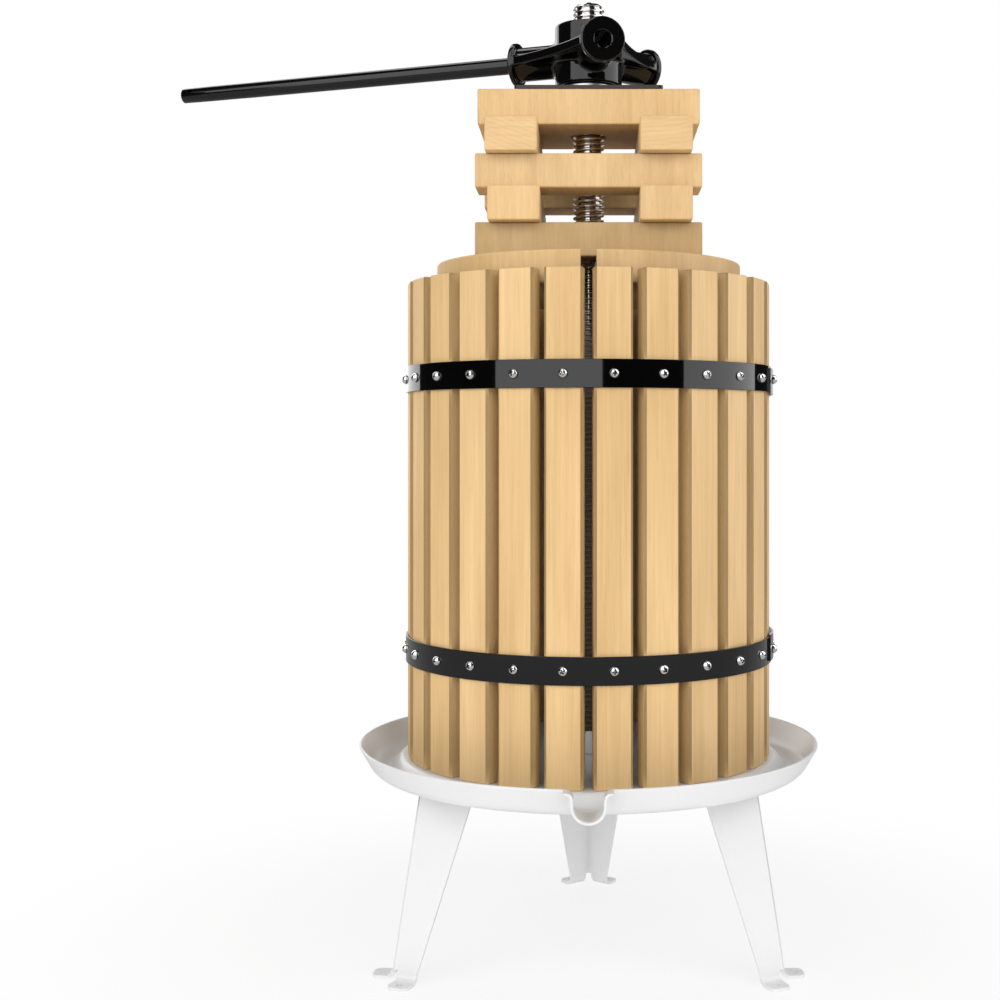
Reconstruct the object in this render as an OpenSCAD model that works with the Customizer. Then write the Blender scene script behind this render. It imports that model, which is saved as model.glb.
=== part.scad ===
/* [Basket] */
// Number of staves round the basket
stave_count = 25; // [20:1:27]
// Length of a stave
stave_len = 363; // [320:1:420]
// Width of a stave
stave_w = 27; // [20:0.2:28]
// Thickness of a stave
stave_t = 14; // [10:0.5:18]
// Distance from the axis to the outer faces of the staves
basket_r = 140; // [136:0.5:144]
// Rounding of the long edges of a stave
stave_edge_r = 2.2; // [1:0.1:4]

/* [Hoops] */
// Height of the flat strap that makes a hoop
hoop_h = 20; // [14:0.5:28]
// Thickness of the strap
hoop_t = 1.6; // [1:0.1:2.5]
// Height of the lower hoop's middle above the feet of the staves
hoop_low = 83; // [50:1:120]
// Depth of the upper hoop's middle below the tops of the staves
hoop_high = 74; // [50:1:120]
// Where the outer strap end lies, in degrees from the front towards the right
lap_start = 73.5; // [60:0.5:85]
// Turn over which the strap overlaps itself, in degrees
lap_turn = 40; // [20:1:60]
// How far the outer strap end of the upper hoop hangs low
lap_drop = 1.8; // [0:0.1:4]
// How far the outer strap end of the lower hoop stands high
lap_rise = 2.4; // [0:0.1:4]

/* [Stave screws] */
// Diameter of the shank of a stave screw
screw_d = 3.6; // [2.5:0.1:5]
// Length of the shank below the head
screw_len = 11; // [6:0.5:13]
// Diameter of the domed head
screw_head_d = 7.2; // [6:0.1:10]
// Height of the domed head
screw_head_h = 3.4; // [2:0.1:4.5]

/* [Pressing plates] */
// Thickness of the two half round plates
plate_t = 24; // [18:0.5:30]
// Radial room between the plates and the inside of the staves
plate_room = 8; // [4:0.5:12]
// Slot between the two halves
plate_slot = 11.5; // [6:0.5:16]
// How far the top of the plates stands above the tops of the staves
plate_proud = 15; // [8:0.5:20]

/* [Blocks] */
// Length of a small block that points to the front
block_len = 165; // [140:1:172]
// How much longer a small block that lies across is
across_more = 2.7; // [0:0.1:8]
// Width of a small block
block_w = 38.5; // [30:0.5:44]
// Height of a small block
block_h = 25.4; // [20:0.2:32]
// How far a block that points to the front lies in from the end of the top block
cross_in = 7.35; // [4:0.05:14]
// How far a block that lies across is set in from the ends of those that point to the front
across_in = 11.25; // [7:0.25:18]
// Length of the top block
top_len = 167; // [150:1:180]
// Depth of the top block from front to back
top_w = 100; // [90:1:120]
// Height of the top block
top_h = 27; // [22:0.5:34]
// Rounding of the edges of the blocks and plates
ease_r = 1.6; // [1:0.1:4]

/* [Pressure plate] */
// Length of the steel plate under the hub
cap_len = 112; // [90:1:130]
// Depth of the steel plate
cap_w = 99; // [80:1:110]
// Thickness of the steel plate
cap_t = 2.8; // [2:0.1:5]
// Outer diameter of the thrust ring
ring_d = 43; // [40:0.5:48]
// Height of the thrust ring
ring_h = 9; // [5:0.5:12]

/* [Hub] */
// Diameter of the hub's body
hub_d = 52.2; // [44:0.2:60]
// Height of the hub's body
hub_h = 47.5; // [40:0.5:60]
// Height of the socket axes above the bottom of the hub
socket_up = 22.7; // [19:0.1:26]
// Distance from the axis to the mouth of a socket
socket_reach = 62.5; // [56:0.5:75]
// Diameter of a socket's tube
socket_d = 26.4; // [22:0.2:30]
// Diameter of the collar at a socket's mouth
collar_d = 34; // [32:0.2:40]
// Length of the collar
collar_len = 4.2; // [3:0.1:8]
// Height of the webs between the sockets
web_h = 7.2; // [5:0.2:14]
// Distance of a web's end from the axis of its socket
web_side = 15; // [13.4:0.1:15.8]
// How far the edge of a web curves in between two sockets
web_hollow = 4.5; // [0:0.5:8]
// Turn of the front socket from the front, in degrees
socket_turn = 9.8; // [0:0.2:20]

/* [Handle] */
// Diameter of the handle bar
handle_d = 13; // [10:0.5:15]
// Length of the handle bar
handle_len = 349.2; // [250:0.2:420]
// Depth of the bore that takes the bar
socket_depth = 38; // [30:0.5:42]
// Diameter of the cross hole near the outer end of the bar
cross_hole_d = 4; // [2:0.1:6]
// Distance of the cross hole from the outer end of the bar
cross_hole_in = 9; // [6:0.5:15]

/* [Spindle] */
// Outer diameter of the spindle
spindle_d = 24.4; // [20:0.2:27]
// How far the spindle stands out above the hub
spindle_proud = 17; // [8:0.1:60]
// How far the spindle stands out below the lock nut
spindle_stub = 5.5; // [2:0.5:12]
// Width across the flats of the two spindle nuts
nut_af = 36; // [32:0.5:42]
// Height of the two spindle nuts
nut_h = 18; // [12:0.5:20]
// Outer diameter of the washer under the tray
washer_d = 60; // [48:1:80]
// Thickness of the washer under the tray
washer_t = 3; // [2:0.5:4]

/* [Tray] */
// How far the tray's rim stands out past the staves
tray_margin = 37.3; // [35:0.1:45]
// Thickness of the enamelled sheet
sheet_t = 2.2; // [1.5:0.1:2.8]
// Height of the tray's underside above the ground
tray_up = 140; // [130:1:150]
// Height of the raised floor above the gutter
floor_step = 9.5; // [6:0.5:11]
// Radial run of the slope from the raised floor down to the gutter
step_run = 12; // [8:0.5:13.5]
// Width of the flat bottom of the gutter
gutter_flat = 1.9; // [1:0.1:4]
// Radial width of the wall with its bend
wall_w = 20.3; // [18:0.1:22]
// Radius of the bend between gutter and wall
bend_r = 15; // [10:0.5:18]
// Slope of the wall against the ground, in degrees
wall_slope = 60; // [50:1:66]

/* [Spout] */
// Inner radius of the spout's channel
spout_r = 10.1; // [8:0.1:12]
// How far the spout reaches past the rim
spout_reach = 11.5; // [6:0.5:20]
// Inner radius of the flared lips of the spout
flare_r = 3.5; // [2:0.1:4.5]

/* [Legs] */
// Thickness of the leg sheet
leg_t = 2.2; // [1.5:0.1:3]
// Distance of the fold line under the tray from the rim
leg_in = 35.8; // [34:0.1:40]
// How far the foot of a leg stands out past its top
leg_splay = 24; // [16:0.5:32]
// Width of a flange at the foot
flange_foot_w = 20.5; // [18:0.5:26]
// Width of a flange under the tray
flange_top_w = 47; // [40:0.5:50]
// Half of the angle between the two flanges, in degrees
fold_half = 54; // [48:1:60]
// Length of a foot tab
tab_len = 16.5; // [14:0.5:22]
// Diameter of the hole in a foot tab
tab_hole_d = 4.6; // [3:0.1:6]
// Diameter of the bolts that hold the legs
leg_bolt_d = 6; // [4:0.5:8]
// Depth of the pad that each leg turns in under the tray
pad_depth = 34; // [28:0.5:40]

/* [Hidden] */
$fn = 96;
STAVES = [for (i = [1:stave_count]) str("stave_", i < 10 ? "0" : "", i)];
over = 1;
fit_gap = 0.05;
run_gap = 0.08;
seat_gap = 0.02;
loose_gap = 1.4;

// Tray, its heights counted from the ground
tray_r = basket_r + tray_margin;
gutter_r = tray_r - wall_w;
// Outer reach of the overruns, larger than any piece
big = 2 * tray_r;
sheet_top = tray_up + sheet_t;
floor_top = sheet_top + floor_step;
floor_under = floor_top - sheet_t;

// The basket stands on the raised floor
stave_step = 360 / stave_count;
stave_foot = floor_top + seat_gap;
stave_top = stave_foot + stave_len;
stave_in = basket_r - stave_t;
corner_r = norm([stave_w / 2 - stave_edge_r, basket_r - stave_edge_r]) + stave_edge_r;
hoop_in = corner_r + fit_gap;
hoop_out = hoop_in + hoop_t;
hoop_z_low = stave_foot + hoop_low;
hoop_z_high = stave_top - hoop_high;
screw_tip_share = 0.35;

// The press stack, from the plates up
plate_r = stave_in - plate_room;
plate_top = stave_top + plate_proud;
low_z = plate_top;
cross_low_z = low_z + block_h;
mid_z = cross_low_z + block_h;
cross_high_z = mid_z + block_h;
top_z = cross_high_z + block_h;
cap_z = top_z + top_h;
ring_z = cap_z + cap_t;
hub_z = ring_z + ring_h;
socket_z = hub_z + socket_up;
hole_r = spindle_d / 2 + loose_gap;
across_len = block_len + across_more;
// Distances from the axis to the middles of the blocks
cross_off = (top_len - block_w) / 2 - cross_in;
across_off = (block_len - block_w) / 2 - across_in;
// Sideways shift with which the lower pair of cross blocks lies
cross_low_shift = 2;
cap_corner_r = 3;
ring_edge = 1;

// Turn from one socket of the hub to the next, and from leg to leg
third_turn = 360 / 3;

// Hub
hub_r = hub_d / 2;
hub_round = 2;
hub_bevel = 1.5;
collar_r = collar_d / 2;
collar_round = 1;
web_reach = socket_reach - collar_len / 2;
web_steps = 16;
mouth_flare = 2.5;

// Handle in its left socket
bar_r = handle_d / 2;
bar_bevel = 1;
bar_in = socket_reach - socket_depth + fit_gap;
SOCKET_TURNS = [for (i = [0:2]) socket_turn + i * third_turn];
bar_turn = socket_turn - third_turn;
cross_hole_turn = 25;

// Spindle and its nuts
nut_bevel = 1.5;
spindle_bevel = 2;
lock_nut_z = floor_under - washer_t - nut_h;
spindle_foot = lock_nut_z - spindle_stub;
spindle_len = hub_z + hub_h + spindle_proud - spindle_foot;

// Spout
spout_out = spout_r + sheet_t;
spout_z = sheet_top + spout_r;
flare_out = flare_r + sheet_t;

// Legs
leg_h = floor_under;
leg_top_r = tray_r - leg_in;
leg_foot_r = leg_top_r + leg_splay;
foot_bend = 5;
bend_z = foot_bend + leg_t;
side_turn = 90 - fold_half;
// Lean of a flange across its own width
tilt = atan(leg_splay * cos(side_turn) / (leg_h - bend_z));
// Depth of the flat that rounds off the fold, and height of the notch below it
fold_flat = 0.9;
notch = 1.5;
tab_in = 4.4;
tab_w = flange_foot_w - tab_in;
tab_round = 5;
tab_hole_in = 6.15;
pad_nose = leg_t / 2 / cos(side_turn);
// Half width of the pad's inner end
pad_in = 4.4;
pad_x = flange_top_w * sin(fold_half) - pad_in;
LEG_TURNS = [for (i = [0:2]) (i - 1 / 2) * third_turn];

// Bolts and nuts of the legs
bolt_off = 14;
bolt_in = 7.8;
bolt_r = leg_top_r - pad_depth + bolt_in;
bolt_rim = 3.3;
bolt_head_r = leg_bolt_d / 2 + bolt_rim;
bolt_head_h = 3.6;
small_nut_rim = 3;
small_nut_r = leg_bolt_d / 2 + small_nut_rim;
small_nut_h = 4.8;
bolt_end = 2.4;

wood = [0.91, 0.77, 0.56];
gloss_black = [0.05, 0.05, 0.055];
bar_black = [0.12, 0.12, 0.13];
bright_steel = [0.78, 0.79, 0.80];
dark_steel = [0.30, 0.29, 0.29];
enamel = [0.93, 0.93, 0.94];

// Rectangle round its centre with rounded corners
module round_rect(l, w, r) {
  square([l - 2 * r, w], center = true);
  square([l, w - 2 * r], center = true);
  for (x = [-1, 1], y = [-1, 1])
    translate([x * (l / 2 - r), y * (w / 2 - r)]) circle(r, $fn = 32);
}

// Wooden bar along X with all its edges eased, standing on z = 0
module eased_bar(l, w, h, r) {
  translate([0, 0, h / 2]) intersection() {
    linear_extrude(h, center = true) round_rect(l, w, r);
    rotate([90, 0, 0]) linear_extrude(w, center = true) round_rect(l, h, r);
    rotate([90, 0, 90]) linear_extrude(l, center = true) round_rect(w, h, r);
  }
}

// Cylinder from the axis outwards to the front, at height z
module front_bore(r, from, to, z = 0) {
  translate([0, -from, z]) rotate([90, 0, 0]) cylinder(r = r, h = to - from);
}

function stave_turn(k) = (k + 0.5) * stave_step;
function in_lap(k) = stave_turn(k) > lap_start && stave_turn(k) < lap_start + lap_turn;

// One stave, standing at the front and turned to its place
module stave(k) {
  color(wood) rotate([0, 0, stave_turn(k)]) difference() {
    translate([0, -basket_r + stave_t / 2, stave_foot])
      linear_extrude(stave_len) round_rect(stave_w, stave_t, stave_edge_r);
    for (z = [hoop_z_low, hoop_z_high])
      front_bore(screw_d / 2 + fit_gap, hoop_in - screw_len - fit_gap, basket_r + over, z);
  }
}

// Flat strap bent into a ring, its outer end lapped over the inner one
module hoop(z, lap_shift) {
  color(gloss_black) translate([0, 0, z]) difference() {
    union() {
      rotate_extrude() translate([hoop_in, -hoop_h / 2]) square([hoop_t, hoop_h]);
      rotate([0, 0, lap_start - 90]) rotate_extrude(angle = lap_turn)
        translate([hoop_out - fit_gap, -hoop_h / 2 + lap_shift]) square([hoop_t + fit_gap, hoop_h]);
    }
    for (k = [0:stave_count - 1])
      rotate([0, 0, stave_turn(k)])
        front_bore(screw_d / 2 + fit_gap, hoop_in - over, hoop_out + hoop_t + over);
  }
}

// Domed screw driven into a stave from the strap's outer face at radius r
module stave_screw(r) {
  dome = (pow(screw_head_d / 2, 2) + pow(screw_head_h, 2)) / (2 * screw_head_h);
  tip = screw_d * screw_tip_share;
  end = hoop_in - screw_len - r;
  translate([0, -r, 0]) rotate([90, 0, 0]) {
    intersection() {
      translate([0, 0, screw_head_h - dome]) sphere(dome, $fn = 48);
      cylinder(d = screw_head_d, h = screw_head_h, $fn = 48);
    }
    translate([0, 0, end + tip]) cylinder(d = screw_d, h = -end - tip);
    translate([0, 0, end]) cylinder(d1 = tip, d2 = screw_d, h = tip);
  }
}

module hoop_screws(z) {
  color(bright_steel) for (k = [0:stave_count - 1])
    rotate([0, 0, stave_turn(k)]) translate([0, 0, z]) stave_screw(hoop_out + (in_lap(k) ? hoop_t : 0));
}

// Half round plate on the right side, or mirrored for the left one
module press_plate(side) {
  color(wood) mirror([side < 0 ? 1 : 0, 0, 0]) translate([0, 0, plate_top - plate_t]) difference() {
    intersection() {
      rotate_extrude() {
        square([plate_r - ease_r, plate_t]);
        translate([0, ease_r]) square([plate_r, plate_t - 2 * ease_r]);
        for (z = [ease_r, plate_t - ease_r]) translate([plate_r - ease_r, z]) circle(ease_r, $fn = 32);
      }
      translate([plate_slot / 2, -plate_r, 0]) cube([plate_r, 2 * plate_r, plate_t]);
    }
    translate([0, 0, -over]) cylinder(r = hole_r, h = plate_t + 2 * over);
  }
}

// Small block across the press, in front of the axis or behind it
module across_block(side, z) {
  color(wood) translate([0, side * across_off, z]) eased_bar(across_len, block_w, block_h, ease_r);
}

// Small block that points to the front, left or right of the axis
module cross_block(side, z, shift = 0) {
  color(wood) translate([side * cross_off + shift, 0, z]) rotate([0, 0, 90])
    eased_bar(block_len, block_w, block_h, ease_r);
}

module top_block() {
  color(wood) translate([0, 0, top_z]) difference() {
    eased_bar(top_len, top_w, top_h, ease_r);
    translate([0, 0, -over]) cylinder(r = hole_r, h = top_h + 2 * over);
  }
}

module pressure_plate() {
  color(gloss_black) translate([0, 0, cap_z]) difference() {
    linear_extrude(cap_t) round_rect(cap_len, cap_w, cap_corner_r);
    translate([0, 0, -over]) cylinder(r = hole_r, h = cap_t + 2 * over);
  }
}

// Turned ring that carries the hub, with its outer edges bevelled
module thrust_ring() {
  color(bright_steel) translate([0, 0, ring_z]) rotate_extrude() polygon([
    [hole_r, 0], [ring_d / 2 - ring_edge, 0], [ring_d / 2, ring_edge],
    [ring_d / 2, ring_h - ring_edge], [ring_d / 2 - ring_edge, ring_h], [hole_r, ring_h]
  ]);
}

// Tube with its collar, from the hub's body out to the front
module socket() {
  front_bore(socket_d / 2, 0, socket_reach - collar_round);
  translate([0, -socket_reach + collar_len, 0]) rotate([90, 0, 0]) rotate_extrude() {
    square([collar_r - collar_round, collar_len]);
    translate([0, collar_round]) square([collar_r, collar_len - 2 * collar_round]);
    for (z = [collar_round, collar_len - collar_round])
      translate([collar_r - collar_round, z]) circle(collar_round, $fn = 24);
  }
}

// Blind bore of a socket with a flared mouth
module socket_bore() {
  front_bore(bar_r + run_gap, socket_reach - socket_depth, socket_reach + over);
  translate([0, -socket_reach + mouth_flare, 0]) rotate([90, 0, 0])
    cylinder(r1 = bar_r + run_gap, r2 = bar_r + run_gap + mouth_flare, h = mouth_flare);
}

// Point beside a socket at turn a, web_reach out and side away from its axis
function beside(a, side) = web_reach * [sin(a), -cos(a)] + side * [cos(a), sin(a)];

// Hollow edge of the web from the socket at turn a to the next one
function web_edge(a) = let (
  start = beside(a, web_side),
  end = beside(a + third_turn, -web_side),
  in = 4 * web_hollow * [-sin(a + third_turn / 2), cos(a + third_turn / 2)]
) [for (i = [0:web_steps]) let (t = i / web_steps) start + (end - start) * t + in * t * (1 - t)];

// Cast nut that turns on the spindle: body, three sockets and the webs between them
module hub() {
  color(gloss_black) translate([0, 0, hub_z]) difference() {
    union() {
      rotate_extrude() {
        translate([0, hub_bevel]) square([hub_r, hub_h - hub_bevel - hub_round]);
        square([hub_r - hub_round, hub_h]);
        translate([hub_r - hub_round, hub_h - hub_round]) circle(hub_round, $fn = 48);
        polygon([[0, 0], [hub_r - hub_bevel, 0], [hub_r, hub_bevel], [0, hub_bevel]]);
      }
      for (a = SOCKET_TURNS) translate([0, 0, socket_up]) rotate([0, 0, a]) socket();
      translate([0, 0, socket_up]) linear_extrude(web_h, center = true)
        polygon([for (a = SOCKET_TURNS) each web_edge(a)]);
    }
    translate([0, 0, -over]) cylinder(r = spindle_d / 2 + run_gap, h = hub_h + 2 * over);
    for (a = SOCKET_TURNS) translate([0, 0, socket_up]) rotate([0, 0, a]) socket_bore();
  }
}

// Round bar with bevelled ends and a cross hole near its outer end
module handle_bar() {
  color(bar_black) translate([0, 0, socket_z]) rotate([0, 0, bar_turn]) translate([0, -bar_in, 0])
    rotate([90, 0, 0]) difference() {
      rotate_extrude() polygon([
        [0, 0], [bar_r - bar_bevel, 0], [bar_r, bar_bevel], [bar_r, handle_len - bar_bevel],
        [bar_r - bar_bevel, handle_len], [0, handle_len]
      ]);
      translate([0, 0, handle_len - cross_hole_in]) rotate([90, 0, 0]) rotate([0, cross_hole_turn, 0])
        cylinder(d = cross_hole_d, h = handle_d + 2 * over, center = true);
    }
}

module spindle() {
  r = spindle_d / 2;
  color(dark_steel) translate([0, 0, spindle_foot]) rotate_extrude() polygon([
    [0, 0], [r - spindle_bevel, 0], [r, spindle_bevel], [r, spindle_len - spindle_bevel],
    [r - spindle_bevel, spindle_len], [0, spindle_len]
  ]);
}

// Hexagonal nut round the spindle, its corners bevelled at the top and the bottom
module spindle_nut(z) {
  corner = nut_af / sqrt(3);
  color(bright_steel) translate([0, 0, z]) difference() {
    intersection() {
      cylinder(r = corner, h = nut_h, $fn = 6);
      rotate_extrude() polygon([
        [0, 0], [nut_af / 2, 0], [corner + over, nut_bevel], [corner + over, nut_h - nut_bevel],
        [nut_af / 2, nut_h], [0, nut_h]
      ]);
    }
    translate([0, 0, -over]) cylinder(r = spindle_d / 2 + fit_gap, h = nut_h + 2 * over);
  }
}

module spindle_washer() {
  color(bright_steel) translate([0, 0, floor_under - washer_t]) difference() {
    cylinder(d = washer_d, h = washer_t);
    translate([0, 0, -over]) cylinder(r = spindle_d / 2 + fit_gap, h = washer_t + 2 * over);
  }
}

// Upper side of the tray's sheet from the spindle hole out to the rim, as radius and height
step_in = gutter_r - gutter_flat - step_run;
step_steps = 10;
bend_steps = 10;
wall_run = tray_r - gutter_r - bend_r * sin(wall_slope);
wall_end = [tray_r - sheet_t * sin(wall_slope), tray_up + bend_r * (1 - cos(wall_slope))
  + wall_run * tan(wall_slope) + sheet_t * cos(wall_slope)];
rim_top = wall_end[1];
TRAY_PATH = concat(
  [[spindle_d / 2 + fit_gap, floor_top]],
  [for (i = [0:step_steps]) let (t = i / step_steps)
    [step_in + step_run * t, sheet_top + floor_step * (1 + cos(180 * t)) / 2]],
  [for (i = [0:bend_steps]) let (a = wall_slope * i / bend_steps)
    [gutter_r + (bend_r - sheet_t) * sin(a), sheet_top + (bend_r - sheet_t) * (1 - cos(a))]],
  [wall_end]
);
function leg_dir(p, i) = (p[i + 1] - p[i]) / norm(p[i + 1] - p[i]);
function down_normal(d) = [d[1], -d[0]];
function mitre(p, i) = let (
  d1 = leg_dir(p, max(i - 1, 0)),
  d2 = leg_dir(p, min(i, len(p) - 2)),
  n = down_normal(d1) + down_normal(d2)
) n / (norm(n) * norm(n) / 2);
TRAY_UNDER = [for (i = [len(TRAY_PATH) - 1:-1:0]) TRAY_PATH[i] + sheet_t * mitre(TRAY_PATH, i)];

// Space over the tray's sheet, up past the rim
module tray_inside() {
  rotate_extrude() polygon(concat(
    TRAY_PATH, [[wall_end[0], rim_top + big], [0, rim_top + big], [0, floor_top]]
  ));
}

// Cross section of the spout's channel, open at the top, with its lips flared outwards
module channel_section() {
  translate([0, spout_z]) circle(spout_r);
  translate([-spout_r, spout_z]) square([2 * spout_r, big]);
  lip_x = spout_r + flare_out;
  difference() {
    translate([-lip_x, rim_top - flare_out]) square([2 * lip_x, big]);
    for (s = [-1, 1]) translate([s * lip_x, rim_top - flare_out]) circle(flare_out);
  }
}

module spout_section() {
  lip_x = spout_r + flare_out;
  difference() {
    union() {
      translate([0, spout_z]) circle(spout_out);
      translate([-lip_x, spout_z]) square([2 * lip_x, rim_top - spout_z]);
    }
    for (s = [-1, 1]) translate([s * lip_x, rim_top - flare_out]) {
      circle(flare_r);
      translate([-flare_r, -big]) square([2 * flare_r, big]);
    }
    channel_section();
  }
}

// Extrudes a section drawn in X and Z from radius r0 out to r1 at the front
module toward_front(r0, r1) {
  translate([0, -r0, 0]) rotate([90, 0, 0]) linear_extrude(r1 - r0) children();
}

// Pressed tray: raised floor, gutter, sloping wall and spout
module tray() {
  lip_r = tray_r + spout_reach;
  color(enamel) difference() {
    union() {
      rotate_extrude() polygon(concat(TRAY_PATH, TRAY_UNDER));
      difference() {
        toward_front(gutter_r, lip_r) spout_section();
        tray_inside();
      }
    }
    toward_front(gutter_r, lip_r + over) channel_section();
    at_leg_bolts() translate([0, 0, floor_under - over])
      cylinder(d = leg_bolt_d + 2 * fit_gap, h = sheet_t + 2 * over);
  }
}

// Point on a flange under the tray, at width w from the fold and depth t in the sheet
function on_flange(side, w, t) = w * [side * cos(side_turn), sin(side_turn)]
  + t * [-side * sin(side_turn), cos(side_turn)];

// Points on the foot's bend at radius r, from the tab up to the leaning sheet
function foot_arc(r) = [for (i = [0:bend_steps]) let (a = -90 + i * (90 - tilt) / bend_steps)
  [-foot_bend / cos(tilt), bend_z] + r * [cos(a), sin(a)]];

// Section across a flange, from the tip of its tab round the bend and up past the tray
module flange_profile() {
  inner = foot_arc(foot_bend);
  rise = big * [sin(tilt), cos(tilt)];
  polygon(concat(
    [[-tab_len, leg_t], [-tab_len, 0]], foot_arc(foot_bend + leg_t),
    [foot_arc(foot_bend + leg_t)[bend_steps] + rise, inner[bend_steps] + rise],
    [for (i = [bend_steps:-1:0]) inner[i]]
  ));
}

// Front view of a flange, narrow above the foot and wide under the tray, notched below the fold
module flange_outline() {
  polygon([
    [tab_in, -over], [flange_foot_w, -over], [flange_foot_w, bend_z],
    [flange_top_w + leg_splay * sin(side_turn), leg_h], [-big, leg_h],
    [-big, bend_z + notch], [tab_in, bend_z + notch]
  ]);
}

// Plan of a flange with the rounded end of its tab and the hole in it
module flange_plan() {
  difference() {
    union() {
      translate([-big, tab_round - tab_len]) square(2 * big);
      translate([tab_in + tab_round, -tab_len]) square([tab_w - 2 * tab_round, tab_len]);
      for (x = [tab_round, tab_w - tab_round]) translate([tab_in + x, tab_round - tab_len]) circle(tab_round);
    }
    translate([tab_in + tab_w / 2, tab_hole_in - tab_len]) circle(d = tab_hole_d);
  }
}

// Right flange of a leg with its foot, up to the middle of the fold
module flange() {
  intersection() {
    rotate([0, 0, side_turn]) intersection() {
      translate([-big, 0, 0]) rotate([90, 0, 90]) linear_extrude(2 * big) flange_profile();
      rotate([90, 0, 0]) linear_extrude(2 * big, center = true) flange_outline();
      translate([0, 0, -over]) linear_extrude(big) flange_plan();
    }
    translate([0, -big, -over]) cube([big, 2 * big, big]);
  }
}

// One leg, standing at the front and turned to its place
module leg(turn) {
  edge = flange_top_w - leg_t;
  color(enamel) rotate([0, 0, turn]) difference() {
    translate([0, -leg_foot_r, 0]) {
      for (m = [0, 1]) mirror([m, 0, 0]) flange();
      translate([0, leg_splay, leg_h - leg_t]) linear_extrude(leg_t) polygon([
        on_flange(1, 0, pad_nose), on_flange(1, edge, leg_t / 2), [pad_x, pad_depth],
        [-pad_x, pad_depth], on_flange(-1, edge, leg_t / 2)
      ]);
    }
    translate([0, -leg_foot_r, bend_z]) rotate([-atan(leg_splay / (leg_h - bend_z)), 0, 0])
      translate([-big / 2, fold_flat - big, notch]) cube(big);
    for (s = [-1, 1]) translate([s * bolt_off, -bolt_r, leg_h - leg_t - over])
      cylinder(d = leg_bolt_d + 2 * fit_gap, h = leg_t + 2 * over);
  }
}

// Places its children over both bolts of each leg
module at_leg_bolts() {
  for (a = LEG_TURNS, s = [-1, 1]) rotate([0, 0, a]) translate([s * bolt_off, -bolt_r, 0]) children();
}

module leg_bolts() {
  dome = (pow(bolt_head_r, 2) + pow(bolt_head_h, 2)) / (2 * bolt_head_h);
  shank = sheet_t + leg_t + small_nut_h + bolt_end;
  color(bright_steel) at_leg_bolts() {
    translate([0, 0, floor_top]) intersection() {
      translate([0, 0, bolt_head_h - dome]) sphere(dome, $fn = 48);
      cylinder(r = bolt_head_r, h = bolt_head_h, $fn = 48);
    }
    translate([0, 0, floor_top - shank]) cylinder(d = leg_bolt_d, h = shank);
  }
}

module leg_nuts() {
  color(bright_steel) at_leg_bolts() translate([0, 0, leg_h - leg_t - small_nut_h]) difference() {
    cylinder(r = small_nut_r, h = small_nut_h, $fn = 6);
    translate([0, 0, -over]) cylinder(d = leg_bolt_d + 2 * fit_gap, h = small_nut_h + 2 * over);
  }
}

tray();
leg(LEG_TURNS[0]);  // leg_front_left
leg(LEG_TURNS[1]);  // leg_front_right
leg(LEG_TURNS[2]);  // leg_rear
leg_bolts();
leg_nuts();
spindle();
spindle_nut(floor_top);  // spindle_base_nut
spindle_nut(lock_nut_z);  // spindle_lock_nut
spindle_washer();
for (i = [1:stave_count]) stave(i - 1);
hoop(hoop_z_high, -lap_drop);  // hoop_upper
hoop(hoop_z_low, lap_rise);  // hoop_lower
hoop_screws(hoop_z_high);  // hoop_screws_upper
hoop_screws(hoop_z_low);  // hoop_screws_lower
press_plate(-1);  // press_plate_left
press_plate(1);  // press_plate_right
across_block(-1, low_z);  // block_low_front
across_block(1, low_z);  // block_low_back
cross_block(-1, cross_low_z, cross_low_shift);  // block_cross_low_left
cross_block(1, cross_low_z);  // block_cross_low_right
across_block(-1, mid_z);  // block_mid_front
across_block(1, mid_z);  // block_mid_back
cross_block(-1, cross_high_z);  // block_cross_high_left
cross_block(1, cross_high_z);  // block_cross_high_right
top_block();
pressure_plate();
thrust_ring();
hub();
handle_bar();
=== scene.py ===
import math

import bmesh
import bpy
import numpy as np
from mathutils import Matrix, Vector


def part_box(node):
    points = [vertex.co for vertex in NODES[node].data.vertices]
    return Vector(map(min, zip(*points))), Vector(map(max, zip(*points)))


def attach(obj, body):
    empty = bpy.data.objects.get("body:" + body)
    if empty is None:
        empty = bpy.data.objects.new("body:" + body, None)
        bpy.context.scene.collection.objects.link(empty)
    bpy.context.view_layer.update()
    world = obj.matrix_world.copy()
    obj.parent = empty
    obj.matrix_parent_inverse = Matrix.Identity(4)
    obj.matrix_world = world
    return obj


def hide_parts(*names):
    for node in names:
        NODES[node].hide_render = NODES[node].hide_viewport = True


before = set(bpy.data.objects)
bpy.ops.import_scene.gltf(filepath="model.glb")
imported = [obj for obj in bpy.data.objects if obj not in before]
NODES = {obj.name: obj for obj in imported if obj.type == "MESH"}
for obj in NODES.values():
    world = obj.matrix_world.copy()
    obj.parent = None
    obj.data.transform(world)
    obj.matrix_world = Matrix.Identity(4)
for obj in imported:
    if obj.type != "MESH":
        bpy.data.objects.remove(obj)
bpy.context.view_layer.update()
MM = 0.001

# Camera, as found from the photograph, level and looking along +Y
CAMERA_PLACE = (0.0, -1.187, 0.396)
CAMERA_LENS = 54.54
CAMERA_SHIFT = (-0.0886, -0.0621)

# Where the hub's sockets point, in degrees from the front towards +X
SOCKET_TURNS = (9.8, 129.8, 249.8)
# Thread: lead and depth
SPINDLE_PITCH = 4.0 * MM
THREAD_DEPTH = 2.4 * MM
# Staves: width, thickness, distance of their outer faces from the axis, chamfer and ease of the ends
STAVE_W, STAVE_T, BASKET_R = 27 * MM, 14 * MM, 140 * MM
STAVE_CHAMFER, STAVE_END = 1.6 * MM, 0.8 * MM
# Easing of the small blocks' long edges and ends
BLOCK_EDGE, BLOCK_END = 1.6 * MM, 1.3 * MM
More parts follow.
